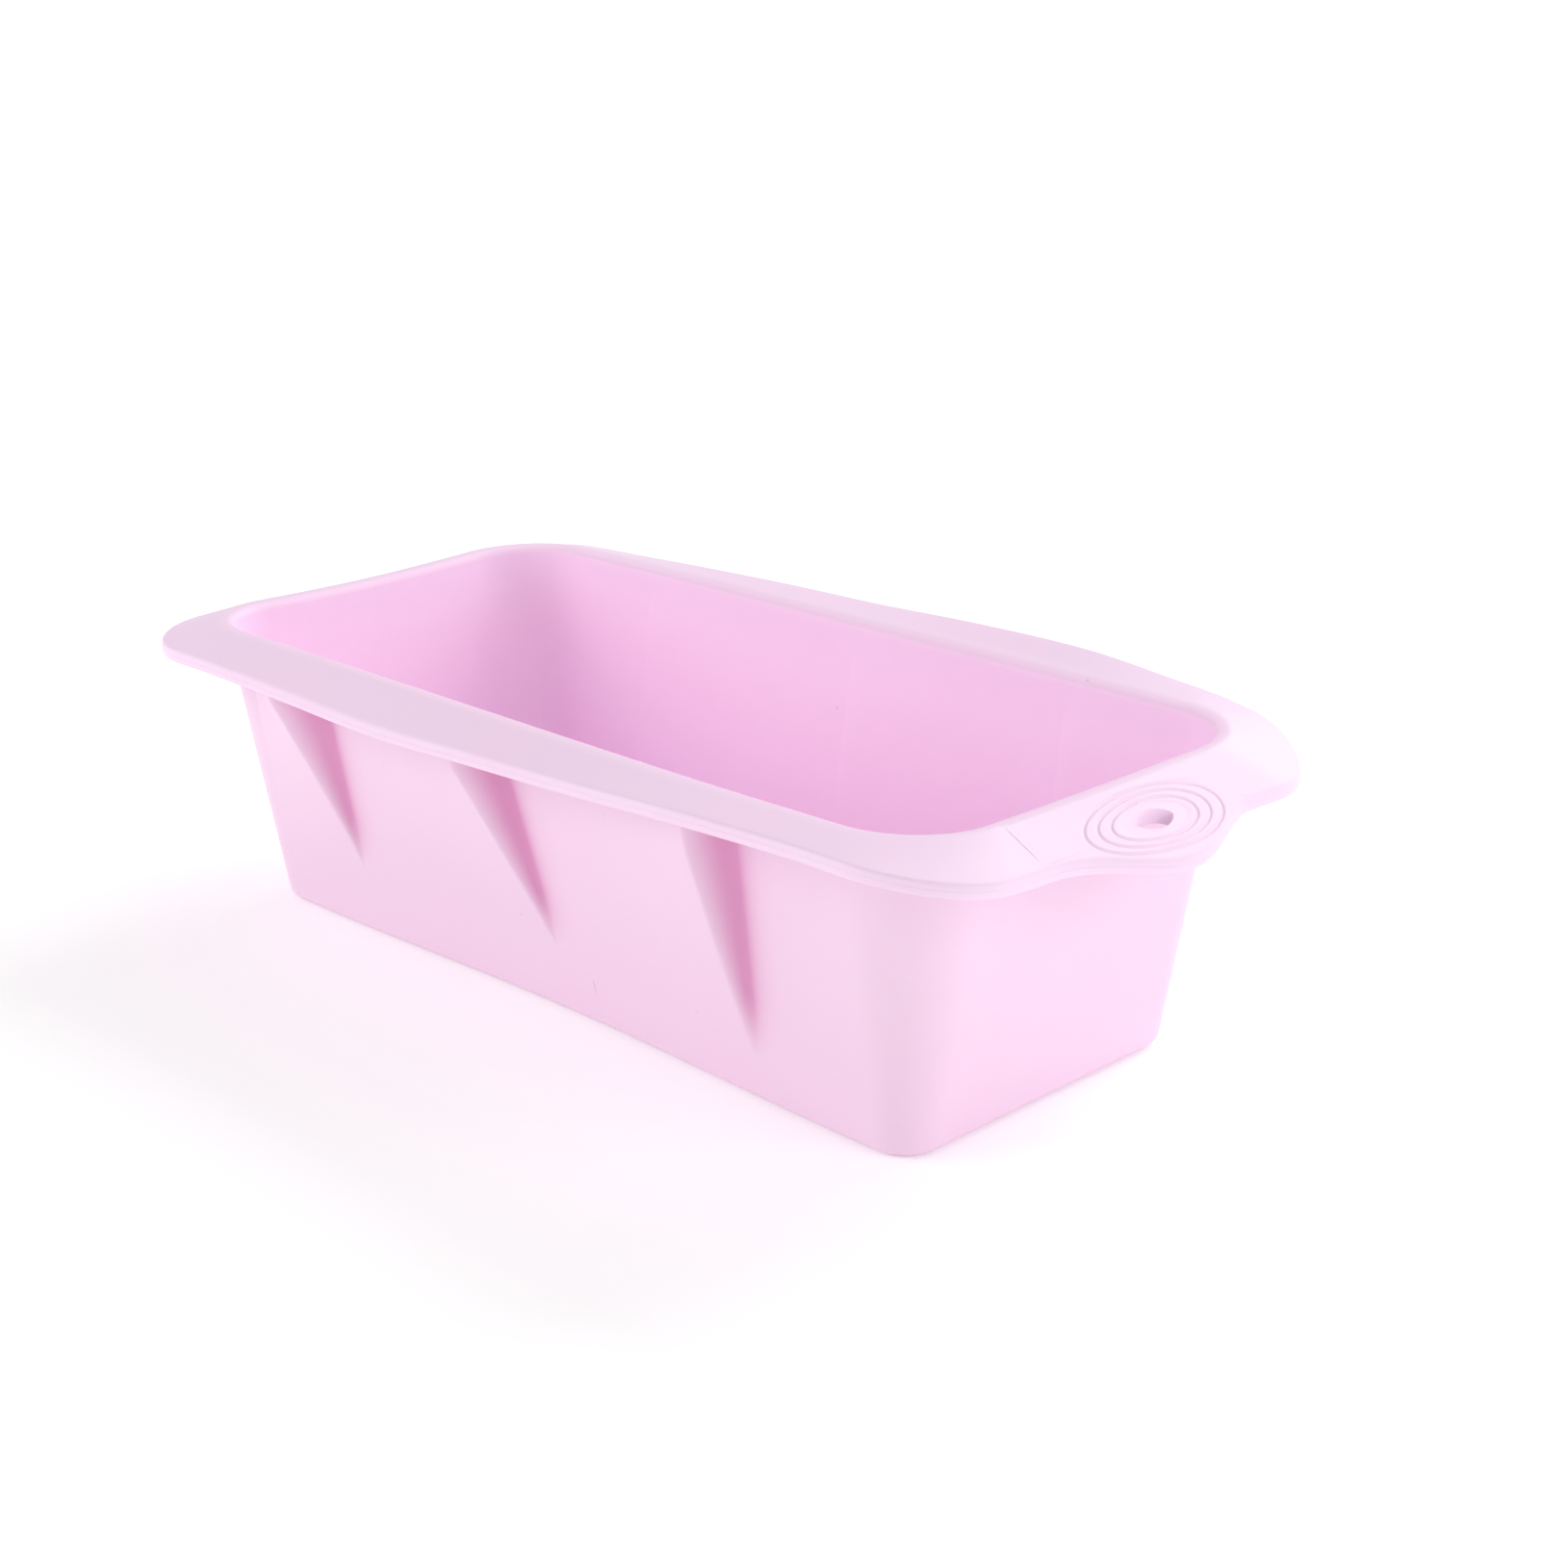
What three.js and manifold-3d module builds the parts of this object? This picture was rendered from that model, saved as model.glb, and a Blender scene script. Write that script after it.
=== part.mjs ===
// Soap loaf mould: one silicone moulding, modelled as the regions that move when it is flexed.
// Millimetres, +Z up, +X along the loaf. The origin is the middle of the flat underside.
//
// A shallow floor carries four corners and four walls. Every wall takes its own stretch of the
// rim with it and hinges along its bottom edge, and an ear hinges on the rim at each end.
// All of them come from one family of rounded rectangles, stacked from the floor to the rim.

import * as THREE from "three";
import { mergeVertices } from "three/addons/utils/BufferGeometryUtils.js";
import Module from "manifold-3d";

const wasm = await Module();
wasm.setup();

// ---- driving dimensions ----
const HEIGHT = 70; // floor underside to the highest point of the rim
const RIM_LENGTH = 253; // over the rim, without the ears
const RIM_WIDTH = 123;
const BASE = { hx: 102.6, hy: 40.9, r: 8.5 }; // outer half length, half width, corner radius
const SHOULDER = { z: 67, hx: 114.2, hy: 51.0, r: 19.2 }; // the outer wall just under the rim
const MOUTH = { hx: 115, hy: 52, r: 21 }; // the rim's inner edge
const RIM_CORNER = 21.5; // radius of the rim's outer corners
const WALL = 2.2;
const FLOOR = 2.6;
const RIM = 3; // thickness of the rim, measured straight down
const BASE_BOW = 2.4; // how far the middle of each long side pulls in at the floor
const CURB = 6; // the floor turns up this far before the walls begin
const GAP = 0.3; // clearance between neighbouring regions
const CUT_X = 93.5; // the long walls end here and the corners begin
const CUT_Y = 30.5; // the end walls end here and the corners begin

// The soft rim droops. These are how far its outer edge hangs below its inner edge, at even
// steps along each side: from left to right on the long sides, from front to back on the ends.
const DROOP = {
  front: [5.2, 5.9, 6.7, 5.4, 4.1, 2.5, 1.8],
  back: [2.4, 1.1, -0.1, -0.7, -0.8, -0.8, 0],
  left: [4.8, 4.4, 5.2, 5.5, 5.3],
  right: [5.7, 5.9, 6.4, 7.6, 8.4],
};
// Round a corner, one side's droop turns into the next one's over this range of |x| - |y|.
const TURN = { front: [42, 98], back: [28, 76] };
const SAG = { left: 1.7, reach: 46 }; // the rim sags at the left end
const LIFT = { corner: 0.8, reach: 34 }; // and rises at the front right corner

// Each long wall has three pleats. A panel swells from one valley to the next ridge, then
// steps back. Ridge and valley meet at a tip near the floor.
const PLEAT_PROUD = 6; // how far a ridge stands out at its top
const PLEAT_RECESS = 0.5; // how far a valley is let in
const PLEAT_TOP = 56; // height at which a ridge reaches its full depth
const TIP_LEAN = 0.8; // least distance between a ridge and its valley
const PLEATS = [
  { valley: -65, tip: -63, ridge: -78.3, tipZ: 17, curve: 1.3 },
  { valley: -3, tip: 3, ridge: -13.7, tipZ: 16, curve: 1.05 },
  { valley: 66, tip: 64, ridge: 57.9, tipZ: 10, curve: 0.6 },
];

const EAR = { half: 28, reach: 6.8, root: 118, bevel: 1.7, fullness: 1.2 };
const SLOT = { x: 124.2, long: 11, wide: 5 };

const SILICONE = new THREE.MeshStandardMaterial({ color: 0xf3d3ec, roughness: 0.5, metalness: 0 });

// ---- helpers ----
const { lerp, smoothstep } = THREE.MathUtils;
const rimMiddle = HEIGHT - LIFT.corner;

// Outer wall rounded rectangle at height z.
function wallAt(z, inset = 0) {
  const t = z / SHOULDER.z;
  return {
    hx: lerp(BASE.hx, SHOULDER.hx, t) - inset,
    hy: lerp(BASE.hy, SHOULDER.hy, t) - inset,
    r: lerp(BASE.r, SHOULDER.r, t) - inset,
    bow: BASE_BOW * (1 - t),
  };
}

const mouth = { ...MOUTH, bow: 0 };
const lip = { hx: RIM_LENGTH / 2, hy: RIM_WIDTH / 2, r: RIM_CORNER, bow: 0 };

// A smooth bump of height one around (x0, y0).
const bump = (x, y, x0, y0, reach) => Math.exp(-((x - x0) ** 2 + (y - y0) ** 2) / reach ** 2);

function mouthHeight(x, y) {
  const sag = SAG.left * bump(x, y, -MOUTH.hx, 0, SAG.reach);
  const lift = LIFT.corner * bump(x, y, MOUTH.hx - MOUTH.r / 2, -MOUTH.hy, LIFT.reach);
  return rimMiddle - sag + lift;
}

// Reads a list of evenly spaced values at x, the list spanning -half to half.
function along(values, x, half) {
  const spot = THREE.MathUtils.clamp((x / half + 1) / 2, 0, 1) * (values.length - 1);
  const i = Math.min(Math.floor(spot), values.length - 2);
  return lerp(values[i], values[i + 1], spot - i);
}

function droop(x, y) {
  const depth = y < 0 ? "front" : "back";
  const side = along(DROOP[depth], x, CUT_X);
  const end = along(x < 0 ? DROOP.left : DROOP.right, y, RIM_WIDTH / 2);
  return lerp(side, end, smoothstep(Math.abs(x) - Math.abs(y), ...TURN[depth]));
}

// Top of the rim at a point between the mouth and the outer edge, across being 0 to 1.
const rimTop = (x, y, across) => mouthHeight(x, y) - droop(x, y) * across;

// ---- places along the loop ----
// A place is a spot along every rounded rectangle. Its at() takes the rectangle and, on the
// outer wall, the height, because a pleat leans as it rises.
const longPlace = (xAt, sy, relief = () => 0) => ({
  at(q, z = HEIGHT, outer = false) {
    const x = xAt(z);
    const bow = q.bow * Math.cos((x / CUT_X) * (Math.PI / 2)) ** 2;
    return [-sy * x, sy * (q.hy - bow + (outer ? relief(z) : 0))];
  },
});
const endPlace = (y, sx) => ({ at: (q) => [sx * q.hx, y] });

const CORNER_STEPS = 7;

// A corner's places run from its long wall to its end wall.
function cornerPlaces(sx, sy, trim = 0) {
  const places = [{ at: (q) => [sx * (CUT_X + trim), sy * q.hy] }];
  for (let i = 0; i <= CORNER_STEPS; i++) {
    const a = (i / CORNER_STEPS) * (Math.PI / 2);
    const x = (q) => q.hx - q.r + q.r * Math.sin(a);
    const y = (q) => q.hy - q.r + q.r * Math.cos(a);
    places.push({ at: (q) => [sx * x(q), sy * y(q)] });
  }
  places.push({ at: (q) => [sx * q.hx, sy * (CUT_Y + trim)] });
  return places;
}

// A pleated wall's places, from its left end to its right end as seen from outside.
function pleatPlaces(sy) {
  const rise = (p, z) => THREE.MathUtils.clamp((z - p.tipZ) / (PLEAT_TOP - p.tipZ), 0, 1);
  const columns = PLEATS.map((p) => ({
    ridge: (z) => lerp(p.tip - TIP_LEAN, p.ridge, rise(p, z) ** p.curve),
    valley: (z) => lerp(p.tip, p.valley, rise(p, z)),
    proud: (z) => PLEAT_PROUD * rise(p, z),
    recess: (z) => -PLEAT_RECESS * rise(p, z),
  }));
  const endX = CUT_X - GAP / 2;
  const places = [longPlace(() => -endX, sy)];
  columns.forEach((c, i) => {
    const last = columns[i - 1];
    if (last) {
      const middle = (a, b) => (z) => (a(z) + b(z)) / 2;
      places.push(longPlace(middle(last.valley, c.ridge), sy, middle(last.recess, c.proud)));
    }
    places.push(longPlace(c.ridge, sy, c.proud), longPlace(c.valley, sy, c.recess));
  });
  places.push(longPlace(() => endX, sy));
  return places;
}

const END_HALF = CUT_Y - GAP / 2;
const END_STATIONS = [-1, -0.5, 0, 0.5, 1];
const endPlaces = (sx) => END_STATIONS.map((t) => endPlace(t * END_HALF, sx));

// ---- the section of a wall and its rim ----
const WALL_ROWS = [44, 30, 17, CURB + GAP]; // outer rows below the rim
const ROUND = 1.1; // size of the rounded edges at the mouth and under the rim

function section(place, edge = lip) {
  const points = [];
  const add = (q, height, z, outer) => {
    const [x, y] = place.at(q, z, outer);
    points.push([x, y, height(x, y)]);
  };
  const innerTop = SHOULDER.z - 2 * ROUND;
  const across = (edge.hx - MOUTH.hx) / (lip.hx - MOUTH.hx);
  add(wallAt(CURB + GAP, WALL), () => CURB + GAP);
  add(wallAt(innerTop, WALL), () => innerTop);
  add(wallAt(SHOULDER.z, WALL - ROUND), (x, y) => mouthHeight(x, y) - ROUND);
  add(mouth, mouthHeight);
  add(edge, (x, y) => rimTop(x, y, across));
  add(edge, (x, y) => rimTop(x, y, across) - RIM);
  add(wallAt(SHOULDER.z), (x, y) => underRim(place, x, y), SHOULDER.z, true);
  for (const z of WALL_ROWS) add(wallAt(z), () => z, z, true);
  return points;
}

// Height at which the rim's underside meets the outer wall.
function underRim(place, x, y) {
  const from = Math.hypot(...place.at(mouth));
  const to = Math.hypot(...place.at(lip));
  const across = THREE.MathUtils.clamp((Math.hypot(x, y) - from) / (to - from), 0, 1);
  return rimTop(x, y, across) - RIM - ROUND;
}

// ---- closed solids ----
// Skins a row of rings, which all have the same number of points, and caps both ends. axes
// names the two axes that each cap lies along.
function skin(rings, axes) {
  const n = rings[0].length;
  const triangles = [];
  for (let s = 0; s + 1 < rings.length; s++) {
    for (let k = 0; k < n; k++) {
      const p = s * n + k;
      const q = s * n + ((k + 1) % n);
      triangles.push([p, q, q + n], [p, q + n, p + n]);
    }
  }
  triangles.push(...cap(rings[0], axes[0], 0, false));
  triangles.push(...cap(rings.at(-1), axes[1], (rings.length - 1) * n, true));
  const points = rings.flat();
  const inward = volumeOf(points, triangles) < 0;
  const faces = inward ? triangles.map(([i, j, k]) => [i, k, j]) : triangles;
  const geometry = new THREE.BufferGeometry();
  geometry.setAttribute("position", new THREE.Float32BufferAttribute(points.flat(), 3));
  geometry.setIndex(faces.flat());
  return geometry;
}

// Triangles that fill a ring, running round it forwards or backwards.
function cap(ring, [u, v], first, forwards) {
  const outline = ring.map((p) => new THREE.Vector2(p[u], p[v]));
  const triangles = THREE.ShapeUtils.triangulateShape(outline, []);
  const turn = (shape) => Math.sign(THREE.ShapeUtils.area(shape));
  const same = turn(triangles[0].map((i) => outline[i])) === turn(outline);
  return triangles.map(([i, j, k]) => (same === forwards ? [i, j, k] : [i, k, j]))
    .map((triangle) => triangle.map((i) => first + i));
}

function volumeOf(points, triangles) {
  const at = (i) => new THREE.Vector3(...points[i]);
  return triangles.reduce((sum, [i, j, k]) => sum + at(i).dot(at(j).cross(at(k))), 0) / 6;
}

function toSolid(geometry) {
  const bare = geometry.clone();
  bare.deleteAttribute("normal");
  bare.deleteAttribute("uv");
  const merged = mergeVertices(bare, 1e-4);
  const vertProperties = new Float32Array(merged.attributes.position.array);
  const triVerts = new Uint32Array(merged.index.array);
  return new wasm.Manifold(new wasm.Mesh({ numProp: 3, vertProperties, triVerts }));
}

function fromSolid(solid) {
  const mesh = solid.getMesh();
  const geometry = new THREE.BufferGeometry();
  geometry.setAttribute("position", new THREE.BufferAttribute(mesh.vertProperties, 3));
  geometry.setIndex(new THREE.BufferAttribute(mesh.triVerts, 1));
  return geometry;
}

const cut = (geometry, tool) => fromSolid(toSolid(geometry).subtract(toSolid(tool)));

// ---- the regions ----
// The floor with its turned-up curb: rings from the underside, round the outside, over the
// curb and down to the floor inside.
function floorRegion() {
  const steps = 8;
  const front = [];
  for (let i = 1; i < steps; i++) front.push(lerp(-CUT_X, CUT_X, i / steps));
  const side = (sy) => front.map((x) => longPlace(() => x, sy));
  const right = [...cornerPlaces(1, -1), ...cornerPlaces(1, 1).reverse()];
  const left = [...cornerPlaces(-1, 1), ...cornerPlaces(-1, -1).reverse()];
  const loop = [...side(-1), ...right, ...side(1), ...left];
  const edge = 1.8; // rounding of the outer bottom edge
  const levels = [
    [0, edge], [0.3 * edge, 0.3 * edge], [edge, 0], [CURB, 0],
    [CURB, WALL], [FLOOR + WALL, WALL], [FLOOR, 2 * WALL],
  ];
  const rings = levels.map(([z, inset]) => loop.map((place) => [...place.at(wallAt(z, inset)), z]));
  return skin(rings, [[0, 1], [0, 1]]);
}

const cornerRegion = (sx, sy) => {
  const sections = cornerPlaces(sx, sy, GAP / 2).map((place) => section(place));
  return skin(sections, [[1, 2], [0, 2]]);
};
const longWallRegion = (sy) => skin(pleatPlaces(sy).map((place) => section(place)), [[1, 2], [1, 2]]);

// An end wall's own rim stops short, and the ear carries it on.
const root = { ...mouth, hx: EAR.root - GAP };
const endWallRegion = (sx) => {
  const sections = endPlaces(sx).map((place) => section(place, root));
  return skin(sections, [[0, 2], [0, 2]]);
};

// The ear carries the end rim's slope on outwards. Its outline swells to a rounded tab, its
// root is bevelled underneath so that it can bend down, and a slot goes through it.
function earRegion(sx) {
  const topAt = (x, y) => {
    const inner = mouthHeight(sx * MOUTH.hx, y);
    const outer = rimTop(sx * lip.hx, y, 1);
    return lerp(inner, outer, (x - MOUTH.hx) / (lip.hx - MOUTH.hx));
  };
  const steps = 16;
  const stations = [-END_HALF];
  for (let i = 0; i <= steps; i++) stations.push(lerp(-EAR.half, EAR.half, i / steps));
  stations.push(END_HALF);
  const rings = stations.map((y) => {
    const turn = Math.min(Math.abs(y) / EAR.half, 1) * (Math.PI / 2);
    const tip = lip.hx + EAR.reach * Math.max(Math.cos(turn), 0) ** EAR.fullness;
    const corners = [[EAR.root, 0], [tip, 0], [tip, RIM], [EAR.root + EAR.bevel, RIM]];
    return corners.map(([x, down]) => [sx * x, y, topAt(x, y) - down]);
  });
  const oval = new THREE.Shape().absellipse(0, 0, SLOT.wide / 2, SLOT.long / 2, 0, 2 * Math.PI);
  const slot = new THREE.ExtrudeGeometry(oval, { depth: HEIGHT, bevelEnabled: false, curveSegments: 10 });
  slot.translate(sx * SLOT.x, 0, HEIGHT / 2);
  return cut(skin(rings, [[0, 2], [0, 2]]), slot);
}

// ---- the mould ----
const mould = new THREE.Group();

function region(name, geometry) {
  const faceted = geometry.toNonIndexed();
  faceted.computeVertexNormals();
  const mesh = new THREE.Mesh(faceted, SILICONE);
  mesh.name = name;
  mould.add(mesh);
}

region("floor", floorRegion());
region("front_wall", longWallRegion(-1));
region("back_wall", longWallRegion(1));
for (const [side, sx] of [["left", -1], ["right", 1]]) {
  region(`${side}_end_wall`, endWallRegion(sx));
  region(`${side}_ear`, earRegion(sx));
  region(`front_${side}_corner`, cornerRegion(sx, -1));
  region(`back_${side}_corner`, cornerRegion(sx, 1));
}

export default mould;
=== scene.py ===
# %% [markdown]
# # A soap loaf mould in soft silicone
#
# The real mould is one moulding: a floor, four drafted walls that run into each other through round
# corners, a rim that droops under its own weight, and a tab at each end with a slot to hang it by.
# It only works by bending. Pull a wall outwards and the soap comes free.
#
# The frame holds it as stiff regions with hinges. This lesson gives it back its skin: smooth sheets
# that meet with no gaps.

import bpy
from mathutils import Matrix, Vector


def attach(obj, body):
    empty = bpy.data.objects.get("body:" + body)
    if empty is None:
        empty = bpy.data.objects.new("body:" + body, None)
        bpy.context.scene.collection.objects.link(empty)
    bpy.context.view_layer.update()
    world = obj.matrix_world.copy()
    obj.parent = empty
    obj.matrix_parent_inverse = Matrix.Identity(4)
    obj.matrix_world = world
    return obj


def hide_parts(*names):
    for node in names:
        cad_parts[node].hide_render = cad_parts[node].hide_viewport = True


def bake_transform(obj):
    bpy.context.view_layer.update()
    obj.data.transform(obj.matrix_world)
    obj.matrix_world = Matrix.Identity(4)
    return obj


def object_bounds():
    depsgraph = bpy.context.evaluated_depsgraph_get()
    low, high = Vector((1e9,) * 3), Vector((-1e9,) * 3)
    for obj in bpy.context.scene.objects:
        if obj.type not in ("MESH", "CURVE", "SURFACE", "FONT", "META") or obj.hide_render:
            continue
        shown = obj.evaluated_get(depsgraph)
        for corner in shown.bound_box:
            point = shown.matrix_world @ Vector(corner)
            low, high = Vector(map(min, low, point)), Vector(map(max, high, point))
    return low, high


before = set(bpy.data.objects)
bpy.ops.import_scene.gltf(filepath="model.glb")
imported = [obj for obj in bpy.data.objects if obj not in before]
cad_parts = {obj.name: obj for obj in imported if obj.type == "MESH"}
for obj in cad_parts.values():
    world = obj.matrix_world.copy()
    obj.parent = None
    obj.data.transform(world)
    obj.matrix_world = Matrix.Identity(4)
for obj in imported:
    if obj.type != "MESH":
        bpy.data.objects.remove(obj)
cad_low, cad_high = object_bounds()

# %% The tools for this lesson
import math

import bmesh
import bpy
import numpy as np
from mathutils import Matrix, Vector

MM = 0.001
print("overall, in mm:", [round(side / MM, 1) for side in cad_high - cad_low])

# %% [markdown]
# ## Sizes
#
# A moulded tray is a stack of rounded rectangles. One at the floor and one at the shoulder, just
# under the rim, fix the outer wall. Two more fix the rim: the mouth that you pour into, and the lip
# round the outside. Every point of the skin is worked out from these four. Sizes are in millimetres
# until a mesh is made.

# %% Four rounded rectangles
BASE = {"hx": 102.6, "hy": 40.9, "r": 8.5}
SHOULDER = {"hx": 114.2, "hy": 51.0, "r": 19.2}
MOUTH = {"hx": 115.0, "hy": 52.0, "r": 21.0, "bow": 0.0}
LIP = {"hx": 126.5, "hy": cad_high.y / MM, "r": 21.5, "bow": 0.0}
SHOULDER_Z = 67.0
BASE_BOW = 2.4  # how far the middle of each long side pulls in at the floor
WALL, FLOOR, RIM = 2.2, 2.6, 3.0
CUT_X, CUT_Y = 93.5, 30.5  # where the corners begin, on the long sides and on the ends
JOIN_Z = 6.15  # the walls meet the floor's turned-up curb here


def wall_at(z, inset=0.0):
    """The wall's rounded rectangle at height z, moved in by inset."""
    t = np.asarray(z, float) / SHOULDER_Z
    sizes = {key: BASE[key] + (SHOULDER[key] - BASE[key]) * t - inset for key in BASE}
    return {**sizes, "bow": BASE_BOW * (1 - t)}


print("outer wall at mid height:", {k: round(float(v), 1) for k, v in wall_at(35).items()})

# %% [markdown]
# ## Pleats
#
# Each long wall carries three pleats. A panel swells gently from one valley to the next ridge, then
# steps back. Ridge and valley lean together and meet at a point near the floor, so the fold looks
# like a tucked curtain. The wall has no second thickness there: the wedge is solid silicone, and the
# inside shows only a faint crease.
#
# It could be sculpted, or cut with booleans, but a rule is exact: at each height the plan of the wall
# is a zigzag of straight lines, and every kink in it is rounded by a short parabola.

# %% Ridges and valleys
PLEAT_PROUD, PLEAT_RECESS, PLEAT_TOP, TIP_LEAN = 6.0, 0.5, 56.0, 0.8
PLEATS = [
    {"valley": -65.0, "tip": -63.0, "ridge": -78.3, "tip_z": 17.0, "curve": 1.3},
    {"valley": -3.0, "tip": 3.0, "ridge": -13.7, "tip_z": 16.0, "curve": 1.05},
    {"valley": 66.0, "tip": 64.0, "ridge": 57.9, "tip_z": 10.0, "curve": 0.6},
]
RIDGE_ROUND, VALLEY_ROUND = 0.75, 1.1  # half widths of the rounded kinks
KINK_SHARE = 0.45  # a rounded kink takes at most this part of the straight beside it
ABOVE = 70.0  # a height at which every pleat is at its full depth


def rise(pleat, z):
    return np.clip((z - pleat["tip_z"]) / (PLEAT_TOP - pleat["tip_z"]), 0, 1)


def mix(a, b, t):
    return a + (b - a) * t


def knots(z):
    """Where the zigzag turns at height z, along the wall and outwards."""
    ends = [(np.full_like(z, -CUT_X), 0 * z)]
    for p in PLEATS:
        up = rise(p, z)
        ends.append((mix(p["tip"] - TIP_LEAN, p["ridge"], up ** p["curve"]), PLEAT_PROUD * up))
        ends.append((mix(p["tip"], p["valley"], up), -PLEAT_RECESS * up))
    ends.append((np.full_like(z, CUT_X), 0 * z))
    return np.array([e[0] for e in ends]), np.array([e[1] for e in ends])


def rounded_ramp(t, h):
    """A ramp that starts at zero, with its kink rounded over h to each side."""
    return np.where(t > h, t, np.where(t < -h, 0.0, (t + h) ** 2 / (4 * h)))


def pleat_relief(x, z):
    """How far the outer wall stands out from its rounded rectangle."""
    kx, ky = knots(z)
    slopes = (ky[1:] - ky[:-1]) / (kx[1:] - kx[:-1])
    out = ky[0] + slopes[0] * (x - kx[0])
    for i in range(1, len(kx) - 1):
        room = KINK_SHARE * np.minimum(kx[i] - kx[i - 1], kx[i + 1] - kx[i])
        h = np.minimum(RIDGE_ROUND if i % 2 else VALLEY_ROUND, room)
        out = out + (slopes[i] - slopes[i - 1]) * rounded_ramp(x - kx[i], h)
    return out


CREASE_DEEP, CREASE_HALF = 0.22, 1.3
PANEL_TILT, TILT_TURN, TILT_REACH = 0.55, 8.0, 22.0  # beside a crease the panels tilt, and level out again
SOFT_START = 6.0  # the creases fade in over this height below the mouth, and out above the floor


def crease_relief(x, z):
    """The faint creases inside, behind the valleys."""
    out = 0 * x
    for p in PLEATS:
        beyond = x - p["valley"]
        t = beyond / CREASE_HALF
        step = mix(-0.5, 0.5, np.clip(0.5 + beyond / TILT_TURN, 0, 1))
        out = out + CREASE_DEEP * np.exp(-t * t) + PANEL_TILT * step * np.exp(-(beyond / TILT_REACH) ** 2)
    from_mouth, from_floor = (SHOULDER_Z - 2 - z) / SOFT_START, (z - JOIN_Z) / SOFT_START
    return out * np.clip(from_mouth, 0, 1) * np.clip(from_floor, 0, 1)


print("pleat depth at z = 30:", [round(float(PLEAT_PROUD * rise(p, 30.0)), 2) for p in PLEATS])

# %% [markdown]
# ## The finish
#
# The silicone is satin, pale pink, and a little cloudy. Three small effects make it believable at
# close range: a fine moulded grain, slow changes of colour and gloss, and a few specks of dust, which
# this material always attracts. Each effect is a node group, so that its numbers are in one place.

# %% Node helpers
def wire(tree, kind, inputs, **settings):
    """Adds a node, sets its properties, and links or sets its inputs."""
    node = tree.nodes.new(kind)
    for key, value in settings.items():
        setattr(node, key, value)
    for key, value in inputs.items():
        socket = node.inputs[key]
        if isinstance(value, bpy.types.NodeSocket):
            tree.links.new(value, socket)
        else:
            socket.default_value = value
    return node


def sums(tree):
    """A short way to write a sum in nodes: m("ADD", a, b)."""
    def m(operation, *values):
        return wire(tree, "ShaderNodeMath", dict(enumerate(values)), operation=operation).outputs[0]
    return m


def effect(name, output, sizes):
    """An empty node group with named inputs and one value to put out."""
    group = bpy.data.node_groups.new(name, "ShaderNodeTree")
    for key, value in sizes.items():
        group.interface.new_socket(key, in_out="INPUT", socket_type="NodeSocketFloat").default_value = value
    group.interface.new_socket(output, in_out="OUTPUT", socket_type="NodeSocketFloat")
    where = wire(group, "ShaderNodeTexCoord", {}).outputs["Object"]
    return group, group.nodes.new("NodeGroupInput").outputs, where


# %% Effects
def moulded_grain():
    """The tool's fine blasted texture, and the slow waves of a part that has been flexed."""
    sizes = {"Grain Scale": 1400.0, "Wave Scale": 28.0, "Waves": 6.0}
    group, size, where = effect("moulded_grain", "Height", sizes)
    m = sums(group)
    grain = wire(group, "ShaderNodeTexNoise", {"Vector": where, "Scale": size["Grain Scale"], "Detail": 2.0})
    wave = wire(group, "ShaderNodeTexNoise", {"Vector": where, "Scale": size["Wave Scale"], "Detail": 1.0})
    total = m("ADD", grain.outputs[0], m("MULTIPLY", wave.outputs[0], size["Waves"]))
    wire(group, "NodeGroupOutput", {0: total})
    return group


def soft_mottle():
    """Slow changes over the surface, from -1 to 1."""
    group, size, where = effect("soft_mottle", "Value", {"Scale": 30.0})
    noise = wire(group, "ShaderNodeTexNoise", {"Vector": where, "Scale": size["Scale"], "Detail": 3.0})
    spread = wire(group, "ShaderNodeMapRange", {0: noise.outputs[0], 1: 0.3, 2: 0.7, 3: -1.0, 4: 1.0})
    wire(group, "NodeGroupOutput", {0: spread.outputs[0]})
    return group


def dust_specks():
    """A few small round specks: cells of a Voronoi pattern, of which only some are chosen."""
    group, size, where = effect("dust_specks", "Mask", {"Scale": 130.0, "Radius": 0.055, "Share": 0.10})
    m = sums(group)
    cell = wire(group, "ShaderNodeTexVoronoi", {"Vector": where, "Scale": size["Scale"]})
    pick = wire(group, "ShaderNodeSeparateColor", {0: cell.outputs["Color"]}).outputs
    chosen = m("LESS_THAN", pick[0], size["Share"])
    radius = m("MULTIPLY", size["Radius"], m("ADD", pick[1], 0.6))
    soft = {0: cell.outputs["Distance"], 1: radius, 2: m("MULTIPLY", radius, 0.4), 3: 0.0, 4: 1.0}
    dot = wire(group, "ShaderNodeMapRange", soft, interpolation_type="SMOOTHSTEP").outputs[0]
    wire(group, "NodeGroupOutput", {0: m("MULTIPLY", dot, chosen)})
    return group


GRAIN, MOTTLE, SPECKS = moulded_grain(), soft_mottle(), dust_specks()
print("effects:", GRAIN.name, MOTTLE.name, SPECKS.name)
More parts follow.
